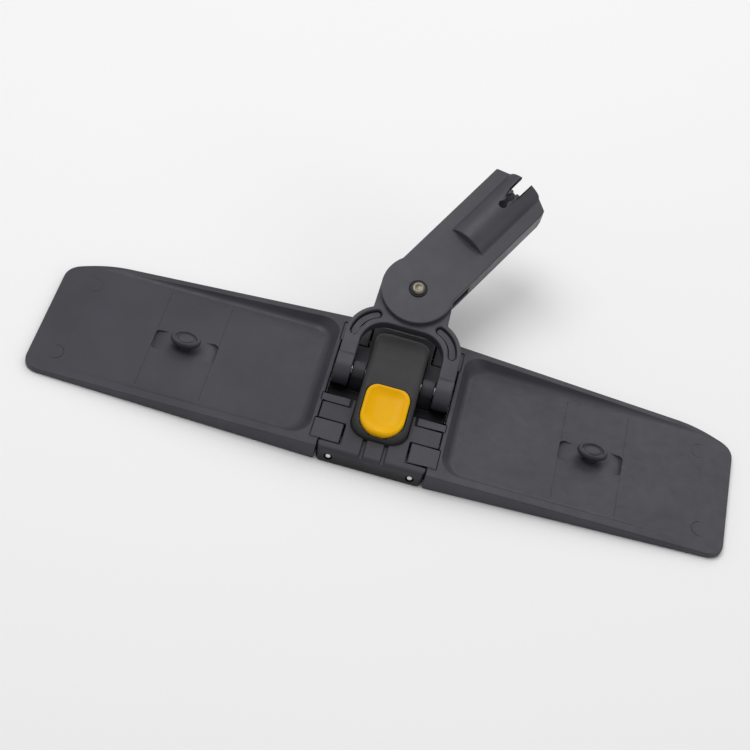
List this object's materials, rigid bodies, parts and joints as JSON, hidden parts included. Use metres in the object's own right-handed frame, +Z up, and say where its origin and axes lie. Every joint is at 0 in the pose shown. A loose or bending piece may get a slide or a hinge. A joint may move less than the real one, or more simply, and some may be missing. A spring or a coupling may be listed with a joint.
{
  "type": "flat mop frame",
  "caption": "Folding flat mop frame: tray-like wings hinged to a centre plate with a foot release button, and a tilting, swivelling handle socket.",
  "frame": {"origin": "centre of the centre plate's flat underside", "axes": "+X along the frame's length towards the viewer's right, -Y the front edge where the foot button is, +Z up out of the top"},
  "size_m": [0.4, 0.1983, 0.0783],
  "materials": {
    "charcoal_plastic": "moulded charcoal plastic, fine grain, satin",
    "dark_plastic": "dark grey moulded plastic, smoother",
    "yellow_plastic": "warm yellow moulded plastic, semi-gloss",
    "bush_plastic": "natural low-friction plastic",
    "steel": "bright turned steel",
    "spring_steel": "drawn spring wire",
    "bolt_steel": "plain pressed steel"
  },
  "bodies": {
    "frame": {"centre_plate": "charcoal_plastic", "left_front_hinge_pin": "steel", "left_rear_hinge_pin": "steel", "right_front_hinge_pin": "steel", "right_rear_hinge_pin": "steel", "release_cover": "dark_plastic", "button_spring": "spring_steel", "cover_screw_1": "steel", "cover_screw_2": "steel", "cover_screw_3": "steel", "yoke_axle": "steel", "left_axle_cap": "steel", "right_axle_cap": "steel"},
    "right_wing_body": {"right_wing": "charcoal_plastic", "right_knob": "dark_plastic", "right_knob_screw": "steel"},
    "left_wing_body": {"left_wing": "charcoal_plastic", "left_knob": "dark_plastic", "left_knob_screw": "steel"},
    "button": {"foot_button": "yellow_plastic"},
    "right_latch": {"right_latch_bolt": "bolt_steel"},
    "left_latch": {"left_latch_bolt": "bolt_steel"},
    "yoke_body": {"yoke": "charcoal_plastic", "left_axle_bush": "bush_plastic", "right_axle_bush": "bush_plastic", "swivel_bush": "bush_plastic"},
    "socket": {"handle_socket": "charcoal_plastic", "swivel_rivet": "steel", "rivet_front_washer": "dark_plastic", "rivet_rear_washer": "dark_plastic"}
  },
  "joints": [
    {"name": "right_wing_fold", "type": "hinge", "parent": "frame", "child": "right_wing_body", "pos_m": [0.0231, 0, 0.0047], "axis": [0, 1, 0], "range_deg": [0, 88]},
    {"name": "left_wing_fold", "type": "hinge", "parent": "frame", "child": "left_wing_body", "pos_m": [-0.0231, 0, 0.0047], "axis": [0, -1, 0], "range_deg": [0, 88]},
    {"name": "button_press", "type": "slide", "parent": "frame", "child": "button", "axis": [0, 0, -1], "range_m": [0, 0.0035], "stiffness_N_per_m": 400, "springref_m": -0.003, "deforming": ["button_spring"]},
    {"name": "right_latch_slide", "type": "slide", "parent": "frame", "child": "right_latch", "axis": [-1, 0, 0], "range_m": [0, 0.0035]},
    {"name": "left_latch_slide", "type": "slide", "parent": "frame", "child": "left_latch", "axis": [1, 0, 0], "range_m": [0, 0.0035]},
    {"name": "yoke_tilt", "type": "hinge", "parent": "frame", "child": "yoke_body", "pos_m": [0, 0.008, 0.013], "axis": [1, 0, 0], "range_deg": [0, 118]},
    {"name": "socket_swing", "type": "hinge", "parent": "yoke_body", "child": "socket", "pos_m": [0, 0.06029, 0.03413], "axis": [0, -0.3746, 0.9272], "range_deg": [-51.8, 108.2]}
  ],
  "couplings": [
    {"joint": "right_latch_slide", "follows": "button_press", "ratio": 1},
    {"joint": "left_latch_slide", "follows": "button_press", "ratio": 1}
  ]
}
